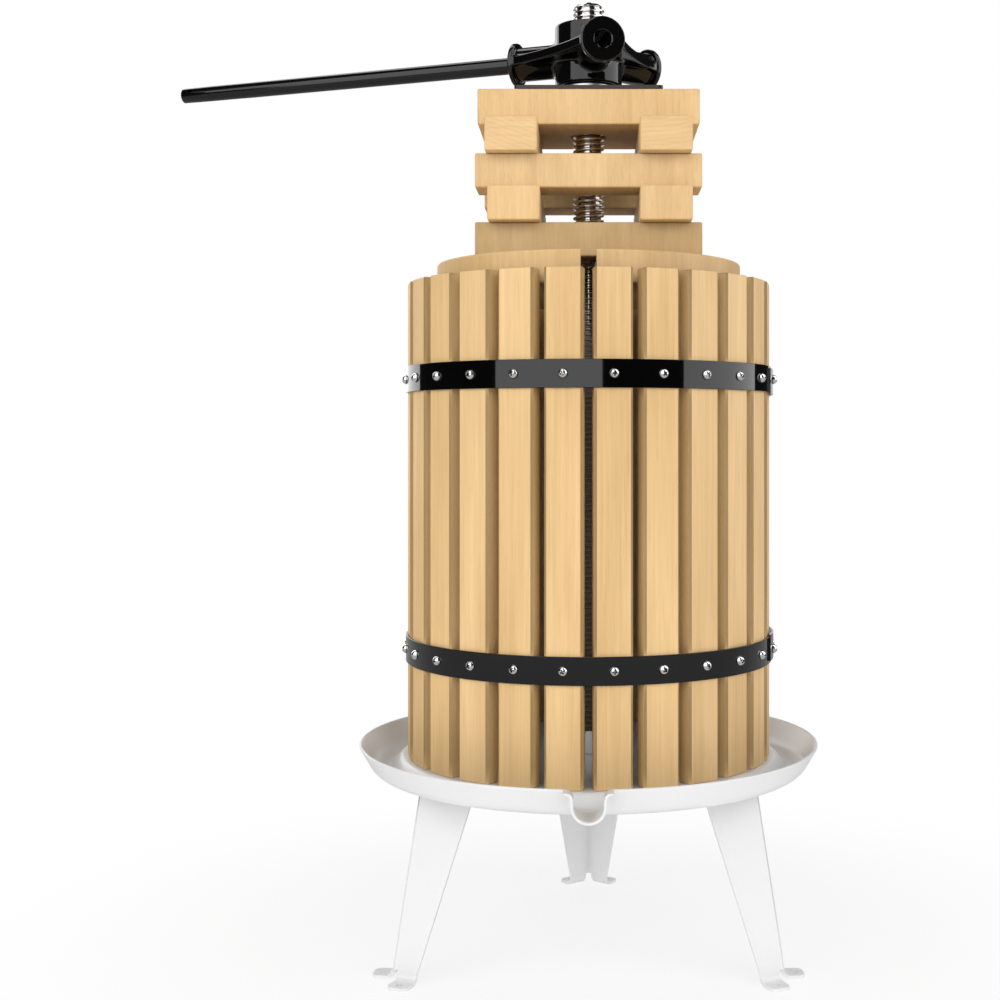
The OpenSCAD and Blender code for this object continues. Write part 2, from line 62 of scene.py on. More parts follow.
# Hoops: strap, inner radius, where the outer end lies, how far the ends overlap and over what turn
# the strap steps out, in degrees, and how much higher the outer end of each hoop lies
HOOP_T, HOOP_H = 1.6 * MM, 20 * MM
HOOP_IN = 140.513 * MM
LAP_START, LAP_TURN, LAP_STEP = 73.5, 40.0, 8.0
LAP_SHIFTS = {"hoop_upper": -1.8 * MM, "hoop_lower": 2.4 * MM}
# Screws: domed head, shank and cross recess
HEAD_R, HEAD_H = 3.6 * MM, 3.4 * MM
SHANK_R, SHANK_END = 1.8 * MM, -6 * MM
CROSS_LEN, CROSS_W, CROSS_DEEP = 1.75 * MM, 0.55 * MM, 1.9 * MM
# Bar: where it starts from the axis, length, radius, and its cross hole
BAR_START, BAR_LEN, BAR_R = 24.55 * MM, 349.2 * MM, 6.5 * MM
HOLE_R, HOLE_IN, HOLE_TURN = 2 * MM, 9 * MM, 25
SHEET_T = 2.2 * MM
# Angle past which an edge stays sharp, in degrees
SHARP = 35


def front(turn, radius, z):
    """Point at a turn in degrees from the front towards +X."""
    a = math.radians(turn)
    return Vector((radius * math.sin(a), -radius * math.cos(a), z))


def middle(node):
    low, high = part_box(node)
    return (low + high) / 2


# Small helpers for shader nodes
class Shader:
    """A material's node tree with short calls for what the materials below use."""

    def __init__(self, name):
        self.material = bpy.data.materials.new(name)
        self.material.use_nodes = True
        self.tree = self.material.node_tree
        self.surface = self.tree.nodes["Principled BSDF"]

    def add(self, kind, **inputs):
        node = self.tree.nodes.new(kind)
        for key, value in inputs.items():
            self.feed(node, key.replace("_", " "), value)
        return node

    def feed(self, node, key, value):
        self.join(node.inputs[key], value)

    def join(self, socket, value):
        if isinstance(value, bpy.types.NodeSocket):
            self.tree.links.new(value, socket)
        else:
            socket.default_value = value

    def set(self, **inputs):
        for key, value in inputs.items():
            self.feed(self.surface, key.replace("_", " "), value)

    def place(self, scale=(1, 1, 1), offset=(0, 0, 0)):
        """Coordinates in the row frame, scaled along each axis."""
        at = self.add("ShaderNodeTexCoord")
        to = self.add("ShaderNodeMapping", Vector=at.outputs["Object"], Scale=scale, Location=offset)
        return to.outputs["Vector"]

    def noise(self, vector, scale, detail=3.0, roughness=0.5, distortion=0.0):
        return self.add("ShaderNodeTexNoise", Vector=vector, Scale=scale, Detail=detail,
                        Roughness=roughness, Distortion=distortion).outputs["Fac"]

    def ramp(self, value, *stops):
        """Colour ramp through (position, colour) stops."""
        node = self.add("ShaderNodeValToRGB", Fac=value)
        band = node.color_ramp
        while len(band.elements) < len(stops):
            band.elements.new(0.5)
        for element, (position, colour) in zip(band.elements, stops):
            element.position = position
            element.color = (*colour, 1)
        return node.outputs["Color"]

    def mix(self, share, a, b, blend="MIX"):
        node = self.tree.nodes.new("ShaderNodeMix")
        node.data_type = "RGBA"
        node.blend_type = blend
        self.join(node.inputs[0], share)
        for socket, value in ((node.inputs[6], a), (node.inputs[7], b)):
            self.join(socket, value if isinstance(value, bpy.types.NodeSocket) else (*value, 1))
        return node.outputs[2]

    def grey(self, value):
        return self.add("ShaderNodeCombineColor", Red=value, Green=value, Blue=value).outputs["Color"]

    def math(self, operation, a, b=0.0, c=0.0):
        node = self.tree.nodes.new("ShaderNodeMath")
        node.operation = operation
        for socket, value in zip(node.inputs, (a, b, c)):
            self.join(socket, value)
        return node.outputs[0]

    def spread(self, value, low, high):
        node = self.add("ShaderNodeMapRange", Value=value)
        node.inputs["To Min"].default_value = low
        node.inputs["To Max"].default_value = high
        return node.outputs["Result"]

    def bump(self, height, strength, distance):
        node = self.add("ShaderNodeBump", Height=height, Strength=strength, Distance=distance)
        self.set(Normal=node.outputs["Normal"])


WOOD_LIGHT = (0.95, 0.64, 0.305)
WOOD_MAIN = (0.885, 0.587, 0.272)
WOOD_DARK = (0.815, 0.53, 0.235)
WOOD_PORE = (0.45, 0.27, 0.12)
# Painted shade on the stave sides and chamfers, from ambient occlusion: how far it looks, the colour factor
# deep in a gap and in the open, and the most it gets
SHADE_REACH = 14 * MM
SHADE_DEEP, SHADE_OPEN, SHADE_MOST = 1.6, 0.35, 1.05


def wood(name, run, rings=None, tone_and_shade=1.0, painted_shade=False):
    """Pale wood. run scales the streaks along X, Y and Z, 1 across the grain and near 0 along it.
    rings is the place of the pith for wood cut so that its year rings show. The last flag paints shade into
    the colour from ambient occlusion: darker towards the open, and painted light deep in the gap beside it.
    The factor before that flag scales the colour, and for a block that lies in shade it is painted shade."""
    s = Shader(name)
    at = s.place(scale=run)
    fine = s.noise(at, 900.0, 2.0, 0.6)
    streaks = s.noise(at, 400.0, 3.0, 0.6)
    bands = s.noise(at, 120.0, 4.0, 0.55, 0.4)
    broad = s.noise(s.place(scale=[max(r, 0.2) for r in run]), 30.0, 2.0)
    if rings:
        wave = s.add("ShaderNodeTexWave", Vector=s.place(offset=[-p for p in rings[0]]), Scale=rings[1],
                     Distortion=3.0, Detail=2.0)
        wave.inputs["Detail Scale"].default_value = 1.3
        wave.wave_type = "RINGS"
        wave.rings_direction = "Y"
        bands = s.math("ADD", s.math("MULTIPLY", wave.outputs["Fac"], 0.3), s.math("MULTIPLY", bands, 0.7))
    grain = s.math("MULTIPLY_ADD", fine, 0.25, s.math("MULTIPLY", bands, 0.3))
    grain = s.math("MULTIPLY_ADD", streaks, 0.45, grain)
    base = s.ramp(grain, (0.35, WOOD_DARK), (0.50, WOOD_MAIN), (0.65, WOOD_LIGHT))
    patch = s.ramp(broad, (0.3, (0.89, 0.87, 0.83)), (0.7, (1.06, 1.08, 1.12)))
    base = s.mix(1.0, base, patch, "MULTIPLY")
    own = s.add("ShaderNodeObjectInfo").outputs["Random"]
    each = s.spread(own, 0.98 * tone_and_shade, 1.02 * tone_and_shade)
    hue = s.math("MULTIPLY", each, s.spread(s.math("FRACT", s.math("MULTIPLY", own, 7.3)), 0.96, 1.04))
    tint = s.add("ShaderNodeCombineColor", Red=each, Green=each, Blue=hue)
    base = s.mix(1.0, base, tint.outputs["Color"], "MULTIPLY")
    # Painted shade: the colour darkens where ambient occlusion finds the face open, and is painted light deep
    # in a gap
    if painted_shade:
        around = s.add("ShaderNodeAmbientOcclusion", Distance=SHADE_REACH)
        around.samples = 8
        shade = s.math("MINIMUM", s.spread(around.outputs["AO"], SHADE_DEEP, SHADE_OPEN), SHADE_MOST)
        base = s.mix(1.0, base, s.grey(shade), "MULTIPLY")
    pores = s.math("GREATER_THAN", s.noise(at, 1500.0, 1.0), 0.68)
    s.set(Base_Color=s.mix(s.spread(pores, 0.0, 0.18), base, WOOD_PORE))
    s.set(Roughness=s.spread(fine, 0.50, 0.66))
    s.surface.inputs["Specular IOR Level"].default_value = 0.1 if painted_shade else 0.35
    s.bump(grain, 0.2, 0.0002)
    return s.material


def gloss_paint(name, colour, roughness, grain=0.0, wave_height=0.00002):
    """Gloss paint on metal, with the faint unevenness of a sprayed coat."""
    s = Shader(name)
    at = s.place()
    s.set(Base_Color=s.mix(s.noise(at, 60.0, 2.0), colour, [c * 1.15 for c in colour]))
    s.set(Roughness=s.spread(s.noise(at, 220.0, 3.0), roughness * 0.8, roughness * 1.25))
    peel = s.noise(at, 420.0 if grain else 90.0, 2.0)
    s.bump(peel, 0.25 + grain, wave_height)
    return s.material


# Painted shade on the spindle inside the basket, standing in for the light that is missing there: its dull
# brown colour, and the span of heights over which it ends
SPINDLE_SHADE = (0.30, 0.22, 0.15)
SPINDLE_SHADE_SPAN = (0.42, 0.5)


def bright_metal(name, colour, dark, roughness, shade_span=None):
    """Plated steel, its colour darkened by painted shade from ambient occlusion in its hollows, with a little
    random unevenness. The span of heights given last ends painted shade on the spindle: below it a dull dark
    brown without metal shine stands in for the shade inside the basket."""
    s = Shader(name)
    at = s.place()
    # Painted shade: ambient occlusion darkens the colour in grooves and recesses, mixed with random
    # unevenness
    near = s.add("ShaderNodeAmbientOcclusion", Distance=0.002)
    near.samples = 6
    wear_and_shade = s.math("MULTIPLY", near.outputs["AO"], s.spread(s.noise(at, 700.0, 3.0), 0.85, 1.1))
    base = s.ramp(wear_and_shade, (0.3, dark), (0.85, colour))
    # Painted shade: below the span the spindle turns a dull dark brown without metal shine, for the dark
    # inside the basket
    if shade_span:
        height = s.add("ShaderNodeSeparateXYZ", Vector=at).outputs["Z"]
        low, high = shade_span
        unshaded = s.add("ShaderNodeMapRange", Value=height, From_Min=low, From_Max=high).outputs["Result"]
        base = s.mix(unshaded, SPINDLE_SHADE, base)
    s.set(Base_Color=base, Metallic=unshaded if shade_span else 1.0)
    uneven = s.spread(s.noise(at, 1100.0, 2.0), roughness * 0.8, roughness * 1.3)
    if shade_span:
        uneven = s.math("ADD", uneven, s.spread(unshaded, 0.5, 0.0))
    s.set(Roughness=uneven)
    s.bump(s.noise(at, 1600.0, 2.0), 0.2, 0.00002)
    return s.material


def enamel(name, colour):
    """White enamel, thick and even, a little darker where dirt settles."""
    s = Shader(name)
    at = s.place()
    s.set(Base_Color=s.mix(s.noise(at, 25.0, 3.0), colour, [c * 0.975 for c in colour]))
    s.set(Roughness=s.spread(s.noise(at, 120.0, 2.0), 0.27, 0.34))
    s.bump(s.noise(at, 70.0, 2.0), 0.2, 0.0001)
    return s.material


MATERIALS = {
    "stave_wood": wood("stave_wood", (1, 1, 0.022)),
    # Stave sides and front chamfers: wood with painted shade from ambient occlusion
    "stave_side_painted_shade": wood("stave_side_painted_shade", (1, 1, 0.022), painted_shade=True),
    "across_wood": wood("across_wood", (1, 0.06, 0.08)),
    # Low block: colour scaled to 0.7, painted shade for the shade under the blocks that overhang it
    "low_wood_painted_shade": wood("low_wood_painted_shade", (1, 0.06, 0.08), tone_and_shade=0.7),
    "cross_wood": wood("cross_wood", (1, 0.02, 0.08)),
    "ringed_wood": wood("ringed_wood", (0.09, 0.02, 1), ((0.03, 0, 0.86), 95.0)),
    "plate_wood": wood("plate_wood", (1, 0.03, 0.05), tone_and_shade=0.91),
    "black_strap": gloss_paint("black_strap", (0.0014, 0.0014, 0.0015), 0.05),
    "cap_paint": gloss_paint("cap_paint", (0.014, 0.009, 0.003), 0.30, 0.3),
    "hub_enamel": gloss_paint("hub_enamel", (0.0024, 0.0024, 0.0024), 0.07, 0.1, 0.00003),
    "bar_black": gloss_paint("bar_black", (0.003, 0.003, 0.0032), 0.09, 0.1),
    # Spindle: painted shade below the span of heights, inside the basket
    "spindle_steel": bright_metal("spindle_steel", (0.80, 0.78, 0.77), (0.035, 0.028, 0.025), 0.12,
                                  SPINDLE_SHADE_SPAN),
    "ring_steel": bright_metal("ring_steel", (0.78, 0.78, 0.80), (0.4, 0.4, 0.4), 0.38),
    "bright_steel": bright_metal("bright_steel", (0.84, 0.84, 0.85), (0.12, 0.12, 0.12), 0.12),
    "white_enamel": enamel("white_enamel", (0.92, 0.92, 0.918)),
    # Legs: the same white enamel made a little brighter, painted light for the light they lack under the tray
    "leg_enamel_painted_light": enamel("leg_enamel_painted_light", (0.94, 0.94, 0.94)),
}


def dress(piece, material):
    piece.data.materials.clear()
    piece.data.materials.append(MATERIALS[material])


def smooth(piece, angle=SHARP):
    """Smooth shading with sharp edges kept beyond the angle."""
    mesh = piece.data
    mesh.polygons.foreach_set("use_smooth", [True] * len(mesh.polygons))
    shape = bmesh.new()
    shape.from_mesh(mesh)
    limit = math.radians(angle)
    for edge in shape.edges:
        edge.smooth = not (len(edge.link_faces) == 2 and edge.calc_face_angle(0) > limit)
    shape.to_mesh(mesh)
    shape.free()


def even(piece):
    """Normals that keep large faces flat beside their rounded edges."""
    change = piece.modifiers.new("normals", "WEIGHTED_NORMAL")
    change.keep_sharp = True
    change.weight = 80


def link(name, mesh):
    piece = bpy.data.objects.new(name, mesh)
    bpy.context.scene.collection.objects.link(piece)
    return piece


def stand_in(piece, body, material, node, angle=SHARP):
    """Shades and dresses a piece that takes a node's place on its body."""
    smooth(piece, angle)
    dress(piece, material)
    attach(piece, body)
    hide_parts(node)
    return piece


def new_piece(name, points, faces, body, material, node, angle=SHARP, slot=None):
    mesh = bpy.data.meshes.new(name)
    mesh.from_pydata([tuple(p) for p in points], [], [tuple(f) for f in faces])
    mesh.validate()
    fix_normals(mesh)
    piece = stand_in(link(name, mesh), body, material, node, angle)
    even(piece)
    return piece


def fix_normals(mesh):
    shape = bmesh.new()
    shape.from_mesh(mesh)
    bmesh.ops.recalc_face_normals(shape, faces=shape.faces)
    shape.to_mesh(mesh)
    shape.free()


def ring_faces(rings, count):
    """Quads between rings of count points that follow each other in the point list."""
    faces = []
    for i in range(rings - 1):
        for j in range(count):
            k = (j + 1) % count
            faces.append((i * count + j, i * count + k, (i + 1) * count + k, (i + 1) * count + j))
    return faces


def rounded_rect(width, height, radius, steps=4):
    """Points round a rectangle with rounded corners, centred on zero."""
    points = []
    for cx, cy, start in ((1, -1, -90), (1, 1, 0), (-1, 1, 90), (-1, -1, 180)):
        for i in range(steps + 1):
            a = math.radians(start + 90 * i / steps)
            points.append((cx * (width / 2 - radius) + radius * math.cos(a),
                           cy * (height / 2 - radius) + radius * math.sin(a)))
    return points


def board(width, thick, length, radius, end_radius, steps=4):
    """Board along Z from zero up, its ends rounded and its long edges too, or chamfered in one step.
    Returns points and faces."""
    ends = 4
    insets = [(end_radius * (1 - math.sin(math.radians(90 * i / ends))),
               end_radius * (1 - math.cos(math.radians(90 * i / ends)))) for i in range(ends + 1)]
    levels = insets + [(inset, length - height) for inset, height in reversed(insets)]
    points = []
    for inset, z in levels:
        r = max(radius - inset, radius * 0.3)
        points += [Vector((x, y, z)) for x, y in rounded_rect(width - 2 * inset, thick - 2 * inset, r, steps)]
    count = 4 * (steps + 1)
    faces = ring_faces(len(levels), count)
    faces += [tuple(range(count)), tuple(range(count * (len(levels) - 1), count * len(levels)))]
    return points, faces


def make_staves():
    """Chamfered staves, with painted shade in the material on their sides and front chamfers."""
    names = sorted(n for n in NODES if n.startswith("stave_"))
    low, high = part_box(names[0])
    step = 360 / len(names)
    points, faces = board(STAVE_W, STAVE_T, high.z - low.z, STAVE_CHAMFER, STAVE_END, 1)
    sides, painted_shade = 8, (0, 1, 5, 6)
    for i, name in enumerate(names):
        turn = Matrix.Rotation(math.radians((i + 0.5) * step), 4, "Z")
        move = Matrix.Translation((0, STAVE_T / 2 - BASKET_R, low.z))
        places = [turn @ move @ p for p in points]
        piece = new_piece("board_" + name, places, faces, "basket", "stave_wood", name)
        # Sides and front chamfers take the wood with painted shade
        piece.data.materials.append(MATERIALS["stave_side_painted_shade"])
        for face in piece.data.polygons[:-2]:
            face.material_index = int(face.index % sides in painted_shade)


def make_blocks():
    """Small blocks, each fitted to its node's box."""
    for name in sorted(n for n in NODES if n.startswith("block_")):
        low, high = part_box(name)
        size = high - low
        across = size.x > size.y
        wide, long = min(size.x, size.y), max(size.x, size.y)
        points, faces = board(wide, size.z, long, BLOCK_EDGE, BLOCK_END)
        lay = Matrix(((0, 0, 1, 0), (1, 0, 0, 0), (0, 1, 0, 0), (0, 0, 0, 1)))
        if not across:
            lay = Matrix(((1, 0, 0, 0), (0, 0, 1, 0), (0, 1, 0, 0), (0, 0, 0, 1)))
        place = Matrix.Translation(middle(name)) @ lay @ Matrix.Translation((0, 0, -long / 2))
        material = "ringed_wood" if "high" in name else "cross_wood"
        if across:
            # The low block's wood carries painted shade
            material = "low_wood_painted_shade" if "low" in name else "across_wood"
        new_piece("eased_" + name, [place @ p for p in points], faces, "press_stack", material, name,
                  slot="block_wood")


def make_hoops():
    """Straps bent round the staves, the outer end lapped over the inner one."""
    steps, edge = 480, 0.35 * MM
    base = HOOP_IN + HOOP_T / 2
    profile = rounded_rect(HOOP_T, HOOP_H, edge, 3)
    for name, shift in LAP_SHIFTS.items():
        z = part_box(name)[0].z + HOOP_H / 2 - min(shift, 0)
        points = []
        for i in range(steps + 1):
            run = (360 + LAP_TURN) * i / steps
            lift = 1 - min(max((run - LAP_TURN) / LAP_STEP, 0), 1)
            lift = lift * lift * (3 - 2 * lift)
            a = LAP_START + run
            for u, v in profile:
                points.append(front(a, base + HOOP_T * lift + u, z + v + shift * lift))
        faces = ring_faces(steps + 1, len(profile))
        faces += [tuple(range(len(profile))), tuple(range(len(points) - len(profile), len(points)))]
        new_piece("strap_" + name, points, faces, "basket", "black_strap", name, 40)


def lathe(profile, count=64):
    """Points and faces of a solid turned round Z from (radius, height) pairs, closed at both ends."""
    points, faces = [], []
    for r, z in profile:
        points += [Vector((r * math.cos(2 * math.pi * j / count), r * math.sin(2 * math.pi * j / count), z))
                   for j in range(count)]
    faces = ring_faces(len(profile), count)
    faces += [tuple(range(count)), tuple(range(count * (len(profile) - 1), count * len(profile)))]
    return points, faces


def cut(piece, cutter):
    """Takes the cutter away from the piece for good."""
    change = piece.modifiers.new("cut", "BOOLEAN")
    change.operation = "DIFFERENCE"
    change.solver = "EXACT"
    change.object = cutter
    bake(piece)
    bpy.data.objects.remove(cutter)


def bake(piece):
    """Applies the modifiers of a piece."""
    graph = bpy.context.evaluated_depsgraph_get()
    mesh = bpy.data.meshes.new_from_object(piece.evaluated_get(graph))
    piece.modifiers.clear()
    piece.data = mesh


def loose(name, points, faces):
    """Mesh object with no place in the table yet."""
    mesh = bpy.data.meshes.new(name)
    mesh.from_pydata([tuple(p) for p in points], [], [tuple(f) for f in faces])
    fix_normals(mesh)
    return link(name, mesh)


def screw_shape():
    """Domed head with a cross recess on its shank, the head towards -Y from the origin."""
    sphere = (HEAD_R ** 2 + HEAD_H ** 2) / (2 * HEAD_H)
    top, ease, steps = math.asin(HEAD_R / sphere), 0.25 * MM, 8
    profile = [(SHANK_R, SHANK_END), (SHANK_R, 0), (HEAD_R - ease, 0), (HEAD_R, ease)]
    for i in range(1, steps + 1):
        a = top * (1 - i / steps)
        r, z = sphere * math.sin(a), HEAD_H - sphere * (1 - math.cos(a))
        if z > 0.3 * MM:
            profile.append((max(r, 0.1 * MM), z))
    head = loose("head", *lathe(profile, 32))
    faces = [(0, 1, 2, 3), (4, 5, 6, 7), (0, 1, 5, 4), (1, 2, 6, 5), (2, 3, 7, 6), (3, 0, 4, 7)]
    for turn in (0, 90):
        spin = Matrix.Rotation(math.radians(turn), 3, "Z")
        arm = [spin @ Vector((x * CROSS_LEN * grow, y * CROSS_W * grow, z))
               for z, grow in ((HEAD_H - CROSS_DEEP, 0.6), (HEAD_H + 0.5 * MM, 1.35))
               for x, y in ((-1, -1), (1, -1), (1, 1), (-1, 1))]
        cut(head, loose("arm", arm, faces))
    mesh = head.data.copy()
    mesh.transform(Matrix.Rotation(math.radians(90), 4, "X"))
    bpy.data.objects.remove(head)
    return mesh


def make_screws():
    """A screw through each hoop into each stave, each head turned its own way."""
    shape = screw_shape()
    count = sum(n.startswith("stave_") for n in NODES)
    for name in ("hoop_screws_upper", "hoop_screws_lower"):
        z = middle(name).z
        joined = bmesh.new()
        for k in range(count):
            turn = (k + 0.5) * 360 / count
            lapped = LAP_START < turn < LAP_START + LAP_TURN
            radius = HOOP_IN + HOOP_T * (2 if lapped else 1)
            one = shape.copy()
            spin = math.radians((k * 137.5) % 90)
            one.transform(Matrix.Rotation(spin, 4, "Y"))
            one.transform(Matrix.Rotation(math.radians(turn), 4, "Z") @ Matrix.Translation((0, -radius, z)))
            joined.from_mesh(one)
            bpy.data.meshes.remove(one)
        mesh = bpy.data.meshes.new(name)
        joined.to_mesh(mesh)
        joined.free()
        stand_in(link("cross_" + name, mesh), "basket", "bright_steel", name, 38)


def make_spindle():
    """Spindle with its trapezoid thread cut all along."""
    low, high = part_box("spindle")
    crest = (high.x - low.x) / 2
    root = crest - THREAD_DEPTH
    shares = [(0.0, root), (0.26, root), (0.33, root + 0.3 * MM), (0.46, crest - 0.5 * MM),
              (0.52, crest - 0.1 * MM), (0.57, crest), (0.71, crest), (0.76, crest - 0.1 * MM),
              (0.82, crest - 0.5 * MM), (0.95, root + 0.3 * MM)]
    count = 64
    turns = int((high.z - low.z) / SPINDLE_PITCH) + 3
    points = []
    for t in range(-1, turns):
        for share, radius in shares:
            for j in range(count):
                z = low.z + SPINDLE_PITCH * (t + share + j / count)
                a = 2 * math.pi * j / count
                reach = min(radius, root - 1.2 * MM + max(min(z - low.z, high.z - z), 0) * 1.2)
                points.append((reach * math.cos(a), reach * math.sin(a), z))
    rows = len(points) // count
    faces = []
    for i in range(rows - 1):
        for j in range(count):
            k = (j + 1) % count
            up = len(shares) if k == 0 else 0
            if i + 1 + up < rows:
                faces.append((i * count + j, (i + up) * count + k, (i + 1 + up) * count + k,
                              (i + 1) * count + j))
    mesh = bpy.data.meshes.new("spindle_thread")
    mesh.from_pydata(points, [], faces)
    shape = bmesh.new()
    shape.from_mesh(mesh)
    for z, way in ((low.z, -1), (high.z, 1)):
        geometry = shape.verts[:] + shape.edges[:] + shape.faces[:]
        bmesh.ops.bisect_plane(shape, geom=geometry, plane_co=(0, 0, z), plane_no=(0, 0, way),
                               clear_outer=True, dist=1e-7)
        rim = [e for e in shape.edges if e.is_boundary and all(abs(v.co.z - z) < 1e-6 for v in e.verts)]
        bmesh.ops.holes_fill(shape, edges=rim, sides=0)
    bmesh.ops.delete(shape, geom=[v for v in shape.verts if not v.link_faces], context="VERTS")
    bmesh.ops.recalc_face_normals(shape, faces=shape.faces)
    shape.to_mesh(mesh)
    shape.free()
    stand_in(link("spindle_thread", mesh), "stand", "spindle_steel", "spindle", 30)


def make_handle():
    """Round bar with eased ends and a cross hole near the outer one."""
    steps, past = 12, 9 * MM
    end = [(BAR_R - 1.0 * MM, 0), (BAR_R - 0.3 * MM, 0.3 * MM), (BAR_R, 1.0 * MM)]
    profile = end + [(BAR_R, BAR_LEN * i / steps) for i in range(1, steps)]
    profile += [(r, BAR_LEN - z) for r, z in reversed(end)]
    bar = loose("bar", *lathe(profile, 96))
    hole = loose("hole", *lathe([(HOLE_R, -past), (HOLE_R, past)], 32))
    hole.data.transform(Matrix.Translation((0, 0, BAR_LEN - HOLE_IN))
                        @ Matrix.Rotation(math.radians(HOLE_TURN), 4, "Z")
                        @ Matrix.Rotation(math.radians(90), 4, "Y"))
    cut(bar, hole)
    bar.data.transform(Matrix.Rotation(math.radians(SOCKET_TURNS[2]), 4, "Z")
                       @ Matrix.Translation((0, -BAR_START, middle("handle_bar").z))
                       @ Matrix.Rotation(math.radians(90), 4, "X"))
    mesh = bar.data
    bpy.data.objects.remove(bar)
    stand_in(link("handle_bar_round", mesh), "handle", "bar_black", "handle_bar")


def soften_nodes():
    """Nodes that stay, each with its material and the width of its eased edges in millimetres."""
    looks = {"top_block": ("across_wood", 0), "press_plate_left": ("plate_wood", 0),
             "press_plate_right": ("plate_wood", 0), "pressure_plate": ("cap_paint", 0.3),
             "thrust_ring": ("ring_steel", 0.2), "spindle_base_nut": ("bright_steel", 0.3),
             "spindle_lock_nut": ("bright_steel", 0.3), "spindle_washer": ("bright_steel", 0.3),
             "leg_bolts": ("bright_steel", 0), "leg_nuts": ("bright_steel", 0.2),
             # The legs' enamel is a brighter copy, painted light
             "leg_front_left": ("leg_enamel_painted_light", 0.5), "leg_front_right": ("leg_enamel_painted_light", 0.5),
             "leg_rear": ("leg_enamel_painted_light", 0.5)}
    for name, (material, bevel) in looks.items():
        node = NODES[name]
        dress(node, material)
        node.modifiers.new("weld", "WELD").merge_threshold = 0.01 * MM
        if bevel:
            ease = node.modifiers.new("ease", "BEVEL")
            ease.width = bevel * MM
            ease.segments = 2
            ease.limit_method = "ANGLE"
            ease.angle_limit = math.radians(SHARP)
        node.modifiers.new("normals", "WEIGHTED_NORMAL").keep_sharp = True


def surface_net(field, to_place):
    """Mesh of the zero surface of a field on a grid, one point per cell that it crosses.
    to_place turns grid positions into places. Returns points and quads."""
    inside = field < 0
    cells = tuple(n - 1 for n in field.shape)
    corners = [(i, j, k) for i in (0, 1) for j in (0, 1) for k in (0, 1)]
    view = {c: inside[c[0]:c[0] + cells[0], c[1]:c[1] + cells[1], c[2]:c[2] + cells[2]] for c in corners}
    count = sum(v.astype(np.int8) for v in view.values())
    active = (count > 0) & (count < 8)
    index = np.full(cells, -1, np.int64)
    at = np.argwhere(active)
    index[active] = np.arange(len(at))
    total, number = np.zeros((len(at), 3)), np.zeros(len(at))
    for axis in range(3):
        for c in corners:
            if c[axis]:
                continue
            near = at + c
            far = near.copy()
            far[:, axis] += 1
            f0, f1 = field[tuple(near.T)], field[tuple(far.T)]
            crosses = (f0 < 0) != (f1 < 0)
            share = np.where(crosses, f0 / np.where(crosses, f0 - f1, 1), 0)
            place = near.astype(float)
            place[:, axis] += share
            total += place * crosses[:, None]
            number += crosses
    points = to_place(total / number[:, None])
    quads = []
    for axis in range(3):
        u, v = (axis + 1) % 3, (axis + 2) % 3
        low = np.take(inside, range(field.shape[axis] - 1), axis)
        high = np.take(inside, range(1, field.shape[axis]), axis)
        for way, crossing in ((1, low & ~high), (-1, ~low & high)):
            edge = np.argwhere(crossing)
            a, b = edge[:, u], edge[:, v]
            edge = edge[(a > 0) & (b > 0) & (a < cells[u]) & (b < cells[v])]
            around = []
            for du, dv in ((-1, -1), (0, -1), (0, 0), (-1, 0))[::way]:
                cell = edge.copy()
                cell[:, u] += du
                cell[:, v] += dv
                around.append(index[tuple(cell.T)])
            quads.append(np.stack(around, 1))
    return points, np.concatenate(quads)


def settle(points, distance, rounds=3):
    """Moves points onto the zero surface of a distance function."""
    step = 0.02
    for _ in range(rounds):
        value = distance(*points.T)
        ahead = [distance(*(points + step * way).T) for way in np.eye(3)]
        slope = np.stack([(a - value) / step for a in ahead], 1)
        size = np.maximum((slope ** 2).sum(1), 0.1)
        points = points - np.clip(value / size, -0.4, 0.4)[:, None] * slope
    return points


def blend(a, b, k):
    """Smaller of two distances with a fillet of about k where they meet."""
    h = np.maximum(k - np.abs(a - b), 0) / k
    return np.minimum(a, b) - h * h * k / 4


def eased(a, b, r):
    """Larger of two distances with the edge rounded by r."""
    a, b = a + r, b + r
    return np.hypot(np.maximum(a, 0), np.maximum(b, 0)) + np.minimum(np.maximum(a, b), 0) - r


def hub_distance(x, y, z):
    """Distance to the cast hub in millimetres, from the axis and the hub's foot."""
    height, up, reach, tube, collar = 47.5, 22.7, 62.5, 13.2, 17.0
    lift = z - up
    body = eased(np.hypot(x, y) - 26.1, np.abs(z - height / 2) - height / 2, 1.6)
    tubes, collars, webs, bores = 1e3, 1e3, -1e3, 1e3
    for turn in SOCKET_TURNS:
        a, m = math.radians(turn), math.radians(turn + 60)
        out = x * math.sin(a) - y * math.cos(a)
        side = np.hypot(x * math.cos(a) + y * math.sin(a), lift)
        tubes = np.minimum(tubes, eased(side - tube, np.abs(out - reach / 2) - reach / 2 + 1, 0.5))
        collars = np.minimum(collars, eased(side - collar, np.abs(out - reach + 2.1) - 2.1, 1.1))
        bores = np.minimum(bores, np.maximum(side - 6.58, 24.5 - out))
        across = x * math.cos(m) + y * math.sin(m)
        edge = x * math.sin(m) - y * math.cos(m) - 38.7 - 4.5 * (across / 44.8) ** 2
        webs = np.maximum(np.maximum(webs, edge), out - reach + 2)
    webs = eased(webs, np.abs(lift) - 3.6, 1.3)
    shape = blend(blend(body, tubes, 5.0), webs, 4.0)
    shape = blend(shape, collars, 1.6)
    return np.maximum(np.maximum(shape, -bores), 12.28 - np.hypot(x, y))


def make_hub():
    step, low, high = 0.75, np.array([-66.0, -66, -1.5]), np.array([66.0, 66, 49.5])
    axes = [np.arange(low[i], high[i], step) for i in range(3)]
    grid = np.meshgrid(*axes, indexing="ij")
    field = hub_distance(*grid)
    points, quads = surface_net(field, lambda p: low + p * step)
    points = settle(points, hub_distance)
    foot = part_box("hub")[0].z
    new_piece("hub_cast", points * MM + [0, 0, foot], quads, "hub", "hub_enamel", "hub", 50)


